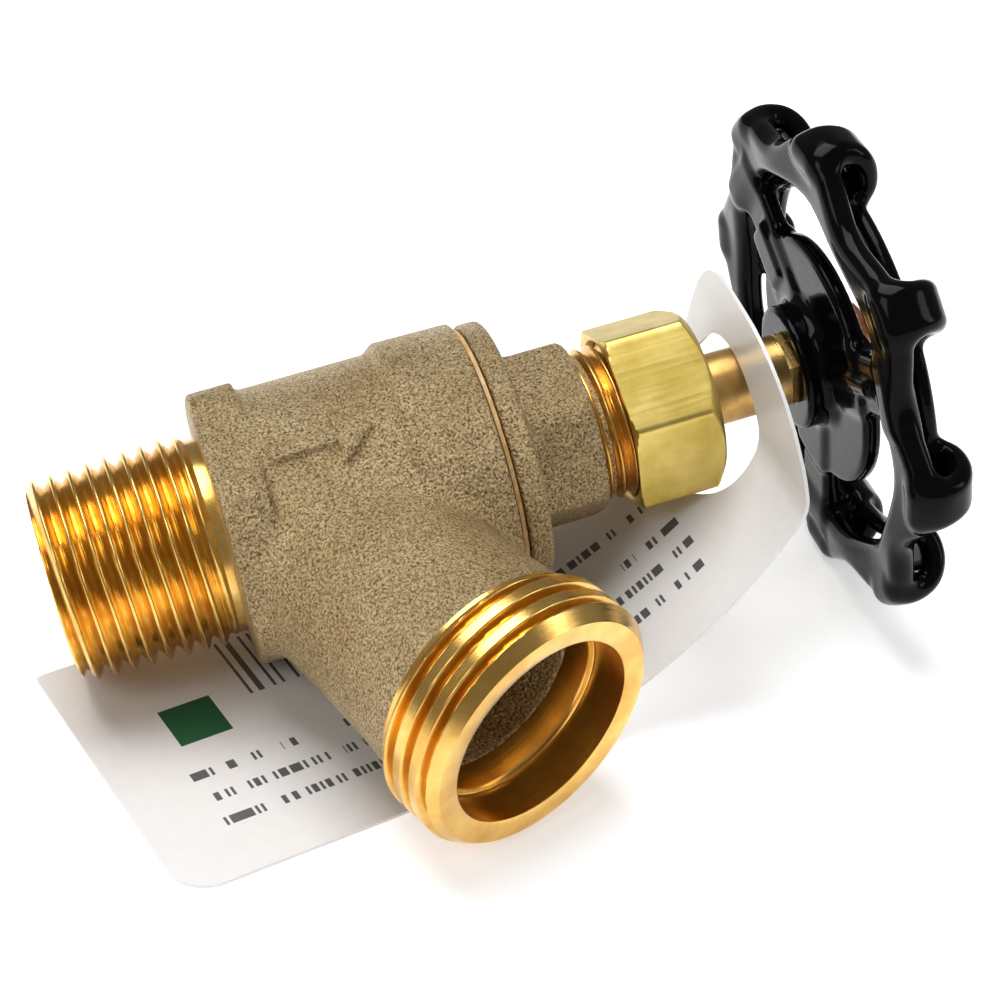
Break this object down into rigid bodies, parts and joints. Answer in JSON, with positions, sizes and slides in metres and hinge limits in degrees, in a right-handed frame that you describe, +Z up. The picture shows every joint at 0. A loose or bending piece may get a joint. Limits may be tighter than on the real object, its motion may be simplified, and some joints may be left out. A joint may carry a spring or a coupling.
{
  "type": "hose bib",
  "caption": "No-kink hose bib lying on its side: cast brass body with male pipe inlet and angled hose outlet, hexagon bonnet, packing nut, rising stem, black cage-rim handwheel and a card tag.",
  "frame": {"origin": "bottom centre of the bounding box of the valve as it lies on its side, on the bench", "axes": "+Z up; +X along the bench towards the handwheel (the stem axis rises from +X by 10.6 degrees); the hose outlet points towards -Y"},
  "size_m": [0.0922, 0.0662, 0.0531],
  "materials": {
    "cast_brass": "as-cast sandy surface with machined, polished threads",
    "nut_brass": "bright drawn and machined",
    "stem_brass": "machined, lightly stained",
    "inner_brass": "machined",
    "gasket": "thin golden fibre seal",
    "packing": "graphite-grey moulded packing",
    "seat_rubber": "moulded rubber",
    "black_enamel": "thick glossy black enamel over cast metal",
    "screw_copper": "copper-plated screw",
    "tag_card": null
  },
  "bodies": {
    "valve": {"body": "cast_brass", "bonnet": "cast_brass", "bonnet_gasket": "gasket", "packing_washer": "inner_brass", "packing_ring_lower": "packing", "packing_ring_upper": "packing", "packing_gland": "inner_brass", "packing_nut": "nut_brass", "hang_tag": "tag_card"},
    "disc_assembly": {"disc_holder": "inner_brass", "disc_lock_nut": "inner_brass", "seat_washer": "seat_rubber", "seat_washer_screw": "inner_brass"},
    "handle_assembly": {"stem": "stem_brass", "handwheel": "black_enamel", "handwheel_screw": "screw_copper"}
  },
  "joints": [
    {"name": "stem_lift", "type": "slide", "parent": "valve", "child": "disc_assembly", "axis": [0.9831, 0, 0.1833], "range_m": [0, 0.0064]},
    {"name": "handle_turn", "type": "hinge", "parent": "disc_assembly", "child": "handle_assembly", "pos_m": [0.0349, 0.00627, 0.02624], "axis": [0.9831, 0, 0.1833], "range_deg": [0, 1080]}
  ],
  "couplings": [
    {"joint": "stem_lift", "follows": "handle_turn", "m_per_rad": 0.00033693}
  ]
}
